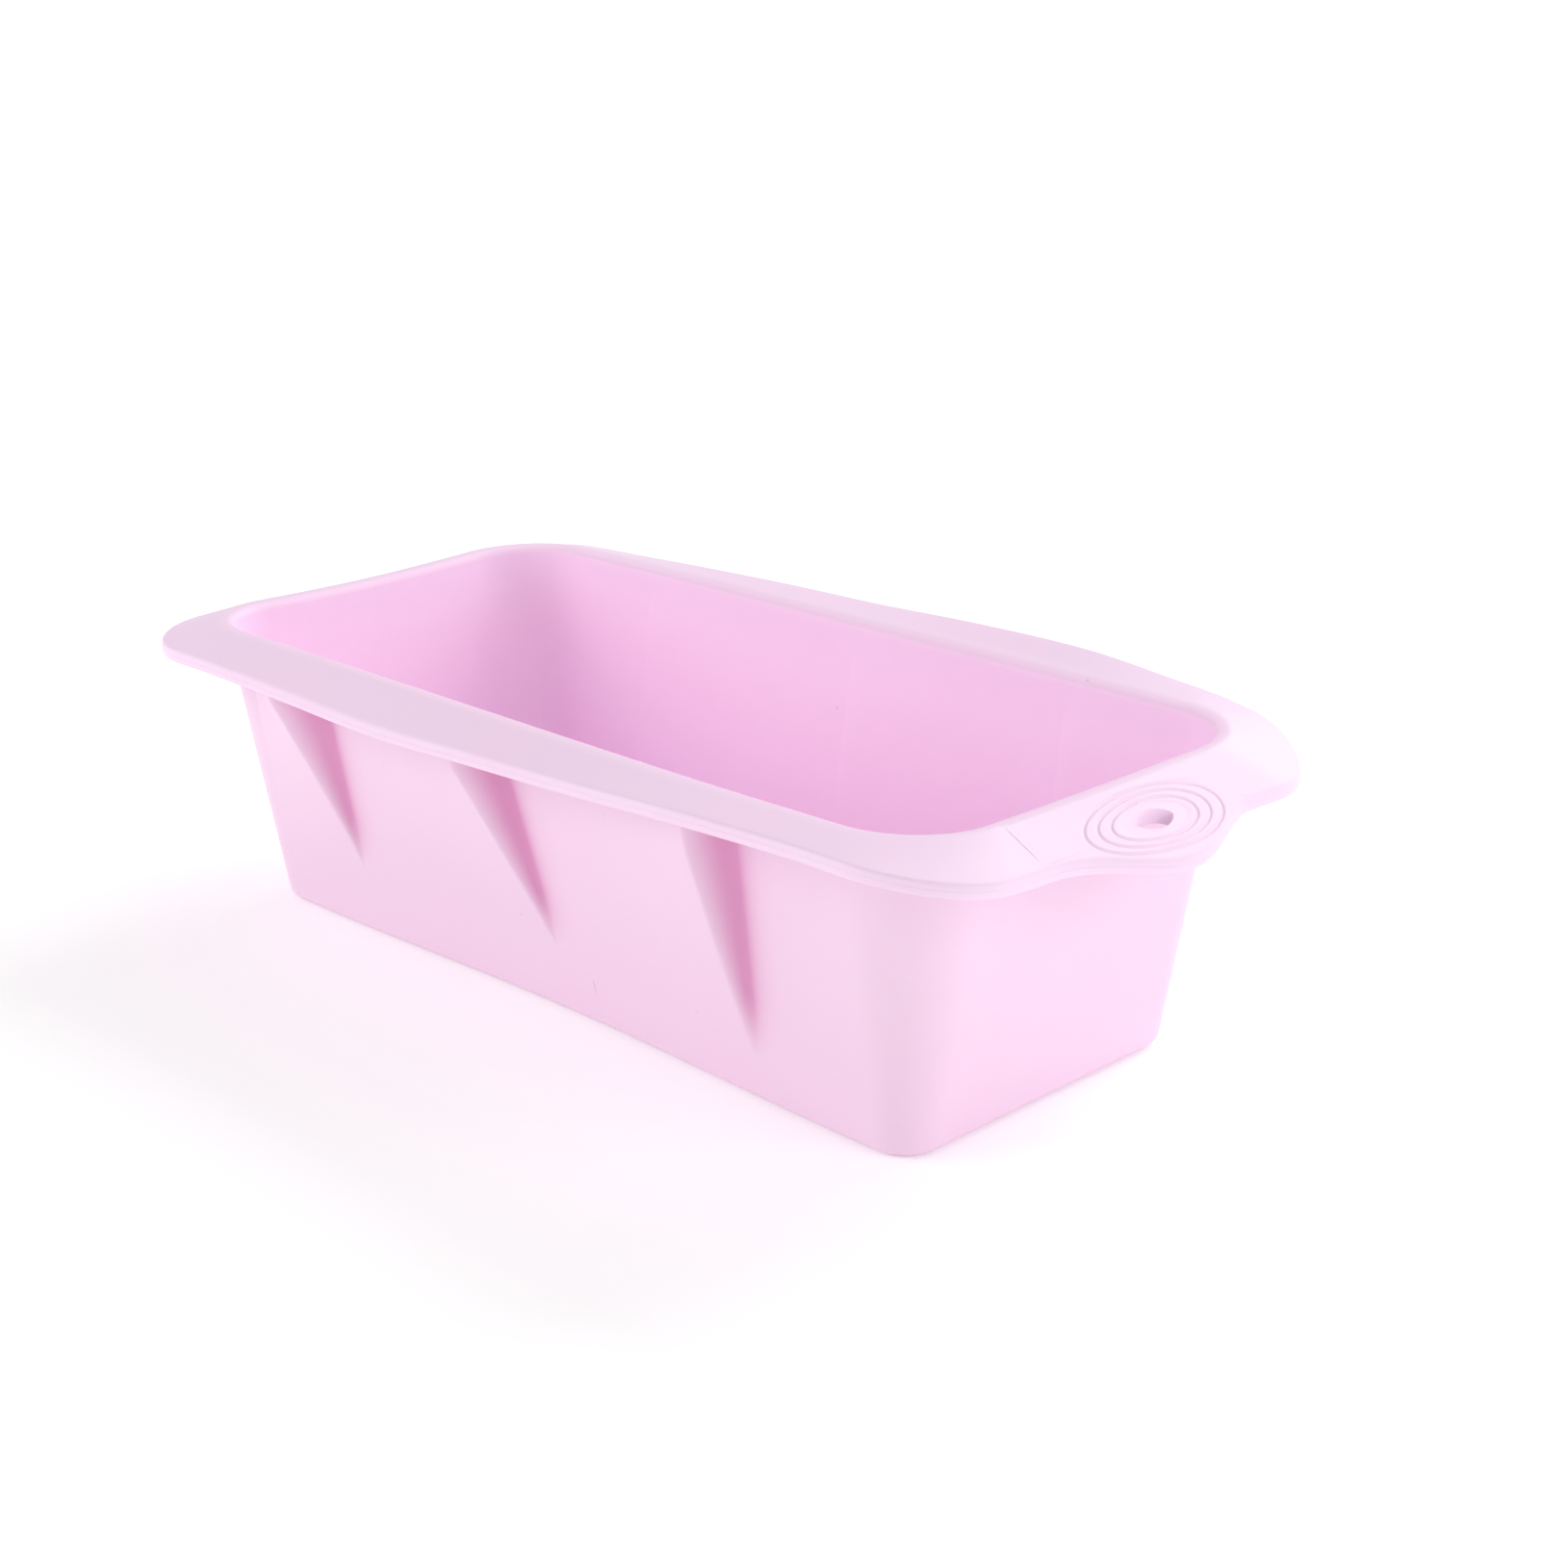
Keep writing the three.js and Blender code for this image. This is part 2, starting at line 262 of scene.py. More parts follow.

# %% [markdown]
# Colours are what the silicone reflects, not what the eye sees: inside the mould, light bounces from
# wall to wall and picks up pink each time. Three more colours are painted light and shade on top of the
# silicone's one pale pink: a brighter pink painted inside as bounce light, a paler pink painted on the
# rim as light through the thin rim, and a deep pink painted in the pleats' folds as their shade.

# %% The silicone
# The wall's pink is the silicone's own. The inner pink is painted bounce light, the rim pink is painted
# light through the thin rim, and the fold pink is painted shade in the pleats.
WALL_PINK, BOUNCE_LIGHT_PINK, RIM_LIGHT_PINK = (0.885, 0.655, 0.825, 1), (0.965, 0.70, 0.91, 1), (0.91, 0.70, 0.88, 1)
FOLD_SHADE_PINK, CLOUD_PINK, SPECK_GREY = (0.72, 0.29, 0.52, 1), (0.94, 0.60, 0.81, 1), (0.62, 0.42, 0.55, 1)
CLOUD_SIZE, CLOUD_STRENGTH, SPECK_STRENGTH = 24.0, 0.08, 0.55
ROUGH, ROUGH_CHANGE = 0.46, 0.04
GRAIN_BUMP = {"Strength": 0.22, "Distance": 0.00012}
SHEEN = {"Specular IOR Level": 0.35, "IOR": 1.41}


def silicone_finish():
    material = bpy.data.materials.new("satin_silicone")
    material.use_nodes = True
    tree = material.node_tree
    shader = tree.nodes["Principled BSDF"]
    m = sums(tree)

    def use(group, **sizes):
        node = wire(tree, "ShaderNodeGroup", {}, node_tree=group)
        for key, value in sizes.items():
            node.inputs[key.replace("_", " ")].default_value = value
        return node.outputs[0]

    def blend(amount, a, b):
        node = tree.nodes.new("ShaderNodeMix")
        node.data_type = "RGBA"
        for key, value in {"Factor": amount, "A": a, "B": b}.items():
            socket = next(s for s in node.inputs if s.name == key and s.enabled)
            if isinstance(value, bpy.types.NodeSocket):
                tree.links.new(value, socket)
            else:
                socket.default_value = value
        return next(s for s in node.outputs if s.enabled)

    colour = WALL_PINK
    # Painted light and shade: the inside gets painted bounce light, the rim painted light through it, and
    # the folds painted shade.
    for mark, pink in (("inward", BOUNCE_LIGHT_PINK), ("rimward", RIM_LIGHT_PINK), ("fold", FOLD_SHADE_PINK)):
        amount = wire(tree, "ShaderNodeAttribute", {}, attribute_name=mark).outputs["Fac"]
        colour = blend(amount, colour, pink)
    mottle = use(MOTTLE, Scale=CLOUD_SIZE)
    colour = blend(m("MULTIPLY_ADD", mottle, CLOUD_STRENGTH, CLOUD_STRENGTH), colour, CLOUD_PINK)
    colour = blend(m("MULTIPLY", use(SPECKS), SPECK_STRENGTH), colour, SPECK_GREY)
    tree.links.new(colour, shader.inputs["Base Color"])
    tree.links.new(m("MULTIPLY_ADD", mottle, ROUGH_CHANGE, ROUGH), shader.inputs["Roughness"])
    bump = wire(tree, "ShaderNodeBump", {**GRAIN_BUMP, "Height": use(GRAIN)})
    tree.links.new(bump.outputs[0], shader.inputs["Normal"])
    for key, value in SHEEN.items():
        shader.inputs[key].default_value = value
    return material


SILICONE = silicone_finish()
print("finish:", SILICONE.name)

# %% [markdown]
# ## Columns round the loop
#
# The skin is a net. Its columns run from the floor, up the outside, over the rim and down the inside,
# and they stand side by side all the way round. On a long wall they lean with the ridges and valleys,
# and crowd together near them, so that a ridge stays crisp without a dense net everywhere.

# %% Lay out the columns
PANEL_STEPS, FACET_STEPS, STRAIGHT_STEPS, ARC_STEPS, END_STEPS = 34, 14, 5, 24, 44
LONG, CORNER, END = 0, 1, 2


def column(kind, sx=0, sy=0, **spot):
    """Where a column stands: seg and t along a long wall; s, turn and e round a corner; y on an end."""
    start = {"kind": kind, "sx": sx, "sy": sy, "seg": 0, "t": 0.0, "s": 1.0, "turn": 0.0, "e": 1.0, "y": 0.0}
    return {**start, **spot}


def long_columns(sy):
    made = []
    for seg in range(2 * len(PLEATS) + 1):
        steps = FACET_STEPS if seg % 2 else PANEL_STEPS
        for i in range(steps):
            made.append(column(LONG, sy=sy, seg=seg, t=0.5 - 0.5 * math.cos(math.pi * i / steps)))
    return made + [column(LONG, sy=sy, seg=2 * len(PLEATS), t=1.0)]


def corner_columns(sx, sy):
    """From the long wall to the end wall: a straight stretch, the arc, and a straight stretch."""
    parts = [i / STRAIGHT_STEPS for i in range(1, STRAIGHT_STEPS)]
    made = [column(CORNER, sx, sy, s=part) for part in parts]
    made += [column(CORNER, sx, sy, turn=math.pi / 2 * i / ARC_STEPS) for i in range(ARC_STEPS + 1)]
    return made + [column(CORNER, sx, sy, turn=math.pi / 2, e=1 - part) for part in parts]


def end_columns(sx):
    return [column(END, sx, y=sx * mix(-CUT_Y, CUT_Y, i / END_STEPS)) for i in range(END_STEPS + 1)]


ROUND_THE_LOOP = [
    long_columns(-1), corner_columns(1, -1), end_columns(1), corner_columns(1, 1)[::-1],
    long_columns(1), corner_columns(-1, 1), end_columns(-1), corner_columns(-1, -1)[::-1],
]
COLUMNS = [c for group in ROUND_THE_LOOP for c in group]
AT = {key: np.array([c[key] for c in COLUMNS]) for key in COLUMNS[0]}
STARTS = np.cumsum([0] + [len(group) for group in ROUND_THE_LOOP])
print(len(COLUMNS), "columns")


def plan(q, z, relief=None):
    """Where each column crosses the rounded rectangle q. relief pushes the long walls outwards."""
    n = len(COLUMNS)
    z = np.broadcast_to(np.asarray(z, float), n)
    hx, hy, r, bow = (np.broadcast_to(np.asarray(q[key], float), n) for key in ("hx", "hy", "r", "bow"))
    kx, _ = knots(z)
    index = np.arange(n)
    along = mix(kx[AT["seg"], index], kx[np.minimum(AT["seg"] + 1, len(kx) - 1), index], AT["t"])
    out = hy - bow * np.cos(along / CUT_X * np.pi / 2) ** 2
    if relief is not None:
        out = out + relief(along, z)
    x = np.where(AT["kind"] == LONG, -AT["sy"] * along, 0.0)
    y = np.where(AT["kind"] == LONG, AT["sy"] * out, 0.0)
    arc_x = mix(CUT_X, hx - r, AT["s"]) + r * np.sin(AT["turn"])
    arc_y = mix(CUT_Y, hy - r, AT["e"]) + r * np.cos(AT["turn"])
    x = np.where(AT["kind"] == CORNER, AT["sx"] * arc_x, x)
    y = np.where(AT["kind"] == CORNER, AT["sy"] * arc_y, y)
    x = np.where(AT["kind"] == END, AT["sx"] * hx, x)
    y = np.where(AT["kind"] == END, AT["y"], y)
    return np.stack([x, y], axis=1)


# %% [markdown]
# ## The droop of the rim
#
# Silicone this thin can't hold a wide flat rim level. The lip hangs below the mouth, most at the two
# ends where the tabs pull on it, and least along the back. The mouth itself sags a little at one end.
# These smooth bumps and slopes are what stops the mould looking machined.

# %% Heights of the rim
SAG, LIFT, SAG_REACH, LIFT_REACH = 1.7, 0.8, 46.0, 34.0
RIM_MIDDLE = 70.0 - LIFT
# How far the lip hangs below the mouth, at even steps along each side. The back edge curls upwards.
FRONT_DROOP, BACK_DROOP = (5.2, 5.9, 6.7, 5.4, 4.1, 2.5, 1.8), (2.4, 1.1, -0.1, -0.9, -2.2, -2.4, 0.0)
LEFT_DROOP, RIGHT_DROOP = (4.8, 4.4, 5.2, 5.5, 5.3), (5.7, 5.9, 6.4, 7.6, 8.4)
FRONT_TURN, BACK_TURN = (42.0, 98.0), (28.0, 76.0)  # |x| - |y| while a side's droop becomes an end's


def smooth(t, low, high):
    t = np.clip((t - low) / (high - low), 0, 1)
    return t * t * (3 - 2 * t)


def flow(values, x, half):
    """A smooth curve through evenly spaced values, spanning -half to half."""
    v, n = np.array([values[0], *values, values[-1]]), len(values) - 1
    spot = np.clip((x / half + 1) / 2, 0, 1) * n
    i = np.minimum(spot.astype(int), n - 1)
    f, p0, p1, p2, p3 = spot - i, v[i], v[i + 1], v[i + 2], v[i + 3]
    return p1 + 0.5 * f * (p2 - p0 + f * (2 * p0 - 5 * p1 + 4 * p2 - p3 + f * (3 * (p1 - p2) + p3 - p0)))


def bump(x, y, x0, y0, reach):
    return np.exp(-((x - x0) ** 2 + (y - y0) ** 2) / reach ** 2)


def mouth_height(x, y):
    sag = SAG * bump(x, y, -MOUTH["hx"], 0, SAG_REACH)
    lift = LIFT * bump(x, y, MOUTH["hx"] - MOUTH["r"] / 2, -MOUTH["hy"], LIFT_REACH)
    return RIM_MIDDLE - sag + lift


def droop(x, y):
    x, y = np.broadcast_arrays(np.asarray(x, float), np.asarray(y, float))
    side = np.where(y < 0, flow(FRONT_DROOP, x, CUT_X), flow(BACK_DROOP, x, CUT_X))
    end = np.where(x < 0, flow(LEFT_DROOP, y, LIP["hy"]), flow(RIGHT_DROOP, y, LIP["hy"]))
    corner = np.abs(x) - np.abs(y)
    return mix(side, end, np.where(y < 0, smooth(corner, *FRONT_TURN), smooth(corner, *BACK_TURN)))


def rim_top(x, y, across):
    """Top of the rim, across being 0 at the mouth and 1 at the lip."""
    return mouth_height(x, y) - droop(x, y) * across


for side, x, y in (("left", -LIP["hx"], 0), ("front", 0, -LIP["hy"]), ("back", 0, LIP["hy"])):
    print("mid", side, "the lip hangs", round(float(droop(x, y)), 1), "mm below the mouth")

# %% [markdown]
# ## The section through wall and rim
#
# One column of the net is one cut through the mould. Its rounded edges are short Bezier curves, whose
# middle control point is the sharp corner that the edge would have had: under the rim, at the lip
# above and below, and at the mouth. A hair-thin raised line runs round the middle of the lip, where
# the two halves of the metal tool met.
#
# Below the join the section ends in a tongue that stays inside the floor's curb, so that no gap opens
# when a wall swings out.

# %% Rows of the section
OUTER_ROWS, FILLET_ROWS, UNDER_ROWS, RIM_ROWS, MOUTH_ROWS, INNER_ROWS, TONGUE_CORNERS = 40, 5, 3, 8, 7, 14, 4
LOWER_EDGE_ROWS, TOP_EDGE_ROWS = 4, 5  # round the lip
UNDER_FILLET, TOP_EDGE, LOWER_EDGE, MOUTH_FILLET, MOUTH_EDGE = 2.4, 0.9, 0.7, 2.2, 1.1
PARTING_PROUD, PARTING_HALF = 0.13, 0.22
PARTING_LINE = ((1, 0.0), (0.4, 0.8), (0, 1.0), (-0.4, 0.8), (-1, 0.0))  # (down, proud), as parts of those
EDGE_ROWS = LOWER_EDGE_ROWS + len(PARTING_LINE) + 1 + TOP_EDGE_ROWS  # all that lip_rows gives
TONGUE, TONGUE_INSET = 2.0, 0.35
MEETING_TRIES = 4  # steps that find the height where a sloping wall meets the rim's underside
EAR_ROOT, EAR_ROOT_UNDER = 116.7, 117.0  # the tabs' own skins begin here, above and below


def lift_to(xy, z):
    return np.column_stack([xy, np.broadcast_to(z, len(xy))])


def bezier(a, b, c, steps):
    """Rows from a to c on a quadratic curve. a is left out."""
    ts = [(i + 1) / steps for i in range(steps)]
    return [a * (1 - t) ** 2 + 2 * b * t * (1 - t) + c * t * t for t in ts]


def straight(a, b, steps):
    return [mix(a, b, (i + 1) / steps) for i in range(steps)]


def unit(v):
    return v / np.maximum(np.linalg.norm(v, axis=1, keepdims=True), 1e-9)


def lip_rows(inner_top, top, out, inner_under, thick=RIM):
    """The lip's rounded edge, from the underside to the top of the rim."""
    down = np.array([0.0, 0.0, -1.0])
    under = top + thick * down
    rows = bezier(inner_under, under, under - LOWER_EDGE * down, LOWER_EDGE_ROWS)
    middle = top + 0.5 * thick * down
    for step, proud in PARTING_LINE:
        rows.append(middle + step * PARTING_HALF * down + proud * PARTING_PROUD * out)
    rows.append(top + TOP_EDGE * down)
    return rows + bezier(rows[-1], top, inner_top, TOP_EDGE_ROWS)


def section_rows(for_ear):
    """Every column's section, as rows of points. for_ear stops the rim short at a tab's root."""
    mouth, lip = plan(MOUTH, ABOVE), plan(LIP, ABOVE)
    span = lip - mouth
    width = np.linalg.norm(span, axis=1)
    out = np.column_stack([span / width[:, None], np.zeros(len(span))])

    def across(xy):
        return np.clip(np.sum((xy - mouth) * span, axis=1) / width ** 2, 0, 1)

    def outer(z):
        return lift_to(plan(wall_at(z), z, pleat_relief), z)

    def on_rim(xy, thick=0.0):
        return lift_to(xy, rim_top(xy[:, 0], xy[:, 1], across(xy)) - thick)

    meet = np.full(len(span), SHOULDER_Z - RIM)
    for _ in range(MEETING_TRIES):
        meet = on_rim(outer(meet)[:, :2], RIM)[:, 2]
    shoulder = outer(meet)
    top_of_wall = meet - UNDER_FILLET
    rows = [outer(mix(JOIN_Z, top_of_wall, i / OUTER_ROWS)) for i in range(OUTER_ROWS + 1)]

    to_lip = unit(lip - shoulder[:, :2])
    fillet_end = on_rim(shoulder[:, :2] + UNDER_FILLET * to_lip, RIM)
    rows += bezier(rows[-1], shoulder, fillet_end, FILLET_ROWS)

    top = on_rim(lip)
    inner_top = on_rim(lip - TOP_EDGE * out[:, :2])
    inner_under = on_rim(lip - LOWER_EDGE * out[:, :2], RIM)
    rim_start = on_rim(mix(mouth, lip, (MOUTH_EDGE / width)[:, None]))
    under_rows = straight(fillet_end, inner_under, UNDER_ROWS)
    edge_rows = lip_rows(inner_top, top, out, inner_under)
    if for_ear:
        sx = np.sign(mouth[:, :1])
        root = on_rim(np.column_stack([sx * EAR_ROOT, mouth[:, 1:]]))
        root_under = on_rim(np.column_stack([sx * EAR_ROOT_UNDER, mouth[:, 1:]]), RIM)
        under_rows = straight(fillet_end, root_under, UNDER_ROWS)
        edge_rows = straight(root_under, root, EDGE_ROWS)
        inner_top = root
    rows += under_rows + edge_rows + straight(inner_top, rim_start, RIM_ROWS)

    mouth_z = mouth_height(mouth[:, 0], mouth[:, 1])

    def inner(z):
        return lift_to(plan(wall_at(z, WALL), ABOVE, lambda x, _: crease_relief(x, z)), z)

    start_inside = inner(mouth_z - MOUTH_FILLET)
    brink = lift_to(inner(mouth_z)[:, :2], mouth_z)
    rows += bezier(rows[-1], brink, start_inside, MOUTH_ROWS)
    rows += [inner(mix(mouth_z - MOUTH_FILLET, JOIN_Z, (i + 1) / INNER_ROWS)) for i in range(INNER_ROWS)]

    for z, inset in ((JOIN_Z, WALL - TONGUE_INSET), (JOIN_Z - TONGUE, WALL - TONGUE_INSET),
                     (JOIN_Z - TONGUE, TONGUE_INSET), (JOIN_Z, TONGUE_INSET)):
        rows.append(lift_to(plan(wall_at(z, inset), ABOVE if inset > 1 else z), z))
    return np.array(rows)


FULL = section_rows(False)
SHORT = section_rows(True)
ROWS = len(FULL)
TONGUE_ROWS = slice(ROWS - TONGUE_CORNERS - 1, ROWS)
LIP_START = OUTER_ROWS + FILLET_ROWS + UNDER_ROWS
LIP_ROWS = slice(LIP_START, LIP_START + EDGE_ROWS)
print(ROWS, "rows in a section, highest point", round(float(FULL[:, :, 2].max()), 2), "mm")

# %% [markdown]
# ## From net to closed sheet
#
# A piece is a run of columns, skinned and closed at both ends. Neighbouring pieces share the same
# border, and they have to share its shading too, or a line would show. So each piece's normals are
# worked out with one more column of its neighbour on either side, and stored with the mesh.
#
# The faces that lie inside the silicone, at the cuts and round the tongue, are left out of that sum.

# %% Skin a net
def net_normals(net, hidden):
    """Normals of a net of (columns, rows, 3) points whose rows close on themselves."""
    a, b = net[:-1], net[1:]
    face = np.cross(np.roll(b, -1, axis=1) - a, np.roll(a, -1, axis=1) - b)
    face[hidden] = 0
    face = face + np.roll(face, 1, axis=1)
    total = np.zeros_like(net)
    total[:-1] += face
    total[1:] += face
    return total


def net_faces(columns, rows):
    """Four-sided faces between the columns, and one face to close each end."""
    faces = []
    for c in range(columns - 1):
        for k in range(rows):
            p, q = c * rows + k, c * rows + (k + 1) % rows
            faces.append([p, p + rows, q + rows, q])
    last = (columns - 1) * rows
    return faces + [list(range(rows)), list(range(last, last + rows))[::-1]]


def merge_twins(points, faces):
    """Gives points that coincide one number, and drops the faces that vanish with them."""
    seen = {}
    first = np.array([seen.setdefault(tuple(p), i) for i, p in enumerate(np.round(points, 4).tolist())])
    kept, number = np.unique(first, return_inverse=True)
    merged = []
    for face in faces:
        ring = [int(number[i]) for i in face]
        ring = [v for i, v in enumerate(ring) if v != ring[i - 1]]
        if len(set(ring)) > 2:
            merged.append(ring)
    return kept, number, merged


def close_net(name, net, neighbours, hidden, marks, carve=None):
    """Makes a closed mesh of a net. neighbours(net) gives the columns before and after it."""
    kept, number, faces = merge_twins(net.reshape(-1, 3), net_faces(*net.shape[:2]))
    mesh = bpy.data.meshes.new(name)
    mesh.from_pydata((net.reshape(-1, 3)[kept] * MM).tolist(), [], faces)
    for key, values in marks.items():
        flat = values.reshape(-1)[kept].astype(np.float32)
        mesh.attributes.new(key, "FLOAT", "POINT").data.foreach_set("value", flat)
    solid = bmesh.new()
    solid.from_mesh(mesh)
    inside_out = solid.calc_volume(signed=True) < 0
    solid.free()
    if inside_out:
        mesh.flip_normals()
    mesh.materials.append(SILICONE)
    mesh.shade_smooth()
    piece = bpy.data.objects.new(name, mesh)
    bpy.context.scene.collection.objects.link(piece)
    if carve:
        carve(piece)
        flat = np.zeros(3 * len(kept), np.float32)
        piece.data.vertices.foreach_get("co", flat)
        net = (flat.reshape(-1, 3) / MM)[number].reshape(net.shape)
    before, after = neighbours(net)
    normals = net_normals(np.concatenate([before, net, after]), hidden)[1:-1].reshape(-1, 3)
    shared = np.zeros((len(kept), 3))
    np.add.at(shared, number, normals)
    piece.data.normals_split_custom_set_from_vertices((unit(shared) * (-1 if inside_out else 1)).tolist())
    print(f"{name}: {len(piece.data.vertices)} points, {len(piece.data.polygons)} faces")
    return piece


# %% [markdown]
# ## Where each point lies on the mould
#
# One silicone shows several pinks, and three of them are painted light and shade. The rim is painted
# paler than the walls, for light that comes through the thin rim from below. The inside is painted a
# brighter pink, for light bounced from its own pink walls. In a pleat the wall is a solid wedge, and its
# fold is painted a deep pink as shade. Each point stores how far it is towards the rim, whether it is
# inside, and how much of a fold's painted shade it gets, and the finish mixes its colours by these
# three marks. They are stored with the mesh, so they stay put when the skin bends.

# %% Mark the rim and the inside
# The rim's paler pink is painted light through the thin rim; the inside's brighter pink is painted bounce
# light.
RIM_FADE, INSIDE_FROM = 4, 2  # rows past the mouth's brink, until the rim's pink is gone, the inner begins
MOUTH_START = ROWS - TONGUE_CORNERS - INNER_ROWS - MOUTH_ROWS


def rimward_marks():
    marks = np.zeros(ROWS)
    marks[OUTER_ROWS + 1:MOUTH_START] = 1.0
    marks[OUTER_ROWS + 1:OUTER_ROWS + 1 + FILLET_ROWS] = (np.arange(FILLET_ROWS) + 1) / FILLET_ROWS
    marks[MOUTH_START:MOUTH_START + RIM_FADE] = 1 - (np.arange(RIM_FADE) + 1) / RIM_FADE
    return marks


RIMWARD = rimward_marks()
INWARD = (np.arange(ROWS) >= MOUTH_START + INSIDE_FROM).astype(float)
print("the rim is", int((RIMWARD > 0).sum()), "rows of the section, the inside", int(INWARD.sum()))

# %% Mark the painted shade in the folds
# The fold pink is painted shade: it deepens along each step into its valley and fades out beyond it.
VALLEY_SHADE_REACH = 2.5  # the deeper pink fades out over this width beyond each valley
FOLD_SHADE_SPAN = (-0.1, 0.75)  # across a step, from its ridge: where the pink starts to deepen, and is full
FOLD_SHADE_FADE = 0.35  # part of a pleat's height over which its tip gains its pink
FOLD_ROWS = OUTER_ROWS + 1 + FILLET_ROWS


def pleat_valley(pleat, z, column):
    return -column["sy"] * mix(pleat["tip"], pleat["valley"], rise(pleat, z))


def fold_shade_amount(net, indices):
    """How much painted shade each point of a pleat gets: most where the step runs into its valley."""
    depth = np.zeros(net.shape[:2])
    for c, i in enumerate(indices):
        column, z = COLUMNS[i % len(COLUMNS)], net[c, :FOLD_ROWS, 2]
        if column["kind"] != LONG or column["seg"] == 0:
            continue
        pleat = PLEATS[(column["seg"] - 1) // 2]
        share = smooth(column["t"], *FOLD_SHADE_SPAN)
        if column["seg"] % 2 == 0:
            share = np.exp(-np.abs(net[c, :FOLD_ROWS, 0] - pleat_valley(pleat, z, column)) / VALLEY_SHADE_REACH)
        depth[c, :FOLD_ROWS] = share * smooth(rise(pleat, z), 0.0, FOLD_SHADE_FADE)
    return depth


def marks_for(net, indices=()):
    rimward, inward = (np.broadcast_to(row, net.shape[:2]) for row in (RIMWARD, INWARD))
    return {"rimward": rimward, "inward": inward, "fold": fold_shade_amount(net, indices)}


def columns_of(rows, indices):
    return np.array([rows[:, i % len(COLUMNS)] for i in indices])


def mask_for(net):
    """Which of a net's faces are hidden. There is one more column of them, for the neighbours."""
    hidden = np.zeros((len(net) + 1, net.shape[1]), bool)
    hidden[:, TONGUE_ROWS] = True
    return hidden


# %% [markdown]
# ## The long walls
#
# Each is hinged along its bottom edge, but its ends are held by the corners, so in life it bulges
# when you pull it. Each half of the wall is its own piece, and the two halves meet near the middle.
#
# The cut runs up a plain stretch of panel, away from any ridge.

# %% Long walls, in two halves each
SPLIT = 2 * (PANEL_STEPS + FACET_STEPS) + 9  # the column where the halves meet
FULL_TURN_X = 30.0
PIECES = []


def take_in(piece, *nodes):
    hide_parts(*nodes)
    PIECES.append(piece)


def long_wall(side, group, sy):
    corner, next_corner = STARTS[group], STARTS[group + 1] - 1
    middle = corner + SPLIT
    halves = ("left", "right") if sy < 0 else ("right", "left")
    for half, first, last in zip(halves, (corner, middle), (middle, next_corner)):
        net = columns_of(FULL, range(first, last + 1))
        ends = columns_of(FULL, [first - 1]), columns_of(FULL, [last + 1])
        marks = marks_for(net, range(first, last + 1))
        piece = close_net(f"{side}_wall_{half}_half", net, lambda _: ends, mask_for(net), marks)
        sx = -1 if half == "left" else 1
        start, end = ((sx * x * MM, 0, 0) for x in (CUT_X, FULL_TURN_X))
        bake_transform(piece)
        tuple(start)
        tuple(end)
        take_in(piece, f"{side}_wall")


long_wall("front", 0, -1)
long_wall("back", 4, 1)

# %% [markdown]
# ## The ends
#
# A short wall is stiffer, and it bends mostly at its two corners. So each half of an end takes its
# corner with it, from where the long wall begins to the middle of the end.
#
# In front of the tab the rim is left out of this piece, because the tab bends by itself.


def is_end(i):
    return COLUMNS[i % len(COLUMNS)]["kind"] == END


def end_half(side, depth, first, last):
    """A run of columns from the long wall to the middle of the end, or the other way round."""
    inward = not is_end(first)
    whole = [i for i in range(first, last + 1) if not is_end(i)]
    beside_tab = [i for i in range(first, last + 1) if is_end(i)]
    edge = beside_tab[0] if inward else beside_tab[-1]
    rim, cut = columns_of(FULL, whole), columns_of(SHORT, beside_tab)
    edge_column = columns_of(FULL, [edge])
    net = np.concatenate([rim, edge_column, cut] if inward else [cut, edge_column, rim])
    hidden = mask_for(net)
    seam = len(rim) + 1 if inward else len(cut)
    hidden[seam] = True
    tab_faces = slice(seam + 1, None) if inward else slice(None, seam)
    hidden[tab_faces, LIP_ROWS] = True
    around = [columns_of(SHORT if is_end(i) else FULL, [i]) for i in (first - 1, last + 1)]
    piece = close_net(f"{side}_end_{depth}_half", net, lambda _: around, hidden, marks_for(net))
    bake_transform(piece)
    take_in(piece, f"{depth}_{side}_corner", f"{side}_end_wall")


END_MIDDLE = END_STEPS // 2
end_half("right", "front", STARTS[1] - 1, STARTS[2] + END_MIDDLE)
end_half("right", "back", STARTS[2] + END_MIDDLE, STARTS[4])
end_half("left", "back", STARTS[5] - 1, STARTS[6] + END_MIDDLE)
end_half("left", "front", STARTS[6] + END_MIDDLE, STARTS[8])

# %% [markdown]
# ## The floor
#
# The floor is a shallow dish. Its curb carries the walls, and its bottom edge has a small radius,
# because a sharp corner in the tool would tear the silicone as it is pulled out. The same rounded
# rectangle gives each ring, moved in a little further at each step.

# %% Floor
BOTTOM_ROUND, INNER_ROUND, ROUND_STEPS = 2.0, 5.0, 8
FLAT_FROM = 4.8  # an inset well inside the bottom's round edge


def floor_rings():
    """(height, inset) of each ring, from under the floor, up the outside and down the inside."""
    rings = [(0.0, FLAT_FROM)]
    for i in range(ROUND_STEPS + 1):
        a = math.pi / 2 * i / ROUND_STEPS
        rings.append((BOTTOM_ROUND * (1 - math.cos(a)), BOTTOM_ROUND * (1 - math.sin(a))))
    rings += [(mix(BOTTOM_ROUND, JOIN_Z, t), 0.0) for t in (0.5, 1.0)]
    rings.append((JOIN_Z, WALL))
    reach = JOIN_Z - FLOOR
    for i in range(1, ROUND_STEPS + 1):
        a = math.pi / 2 * i / ROUND_STEPS
        rings.append((JOIN_Z - reach * math.sin(a), WALL + INNER_ROUND * (1 - math.cos(a))))
    return rings


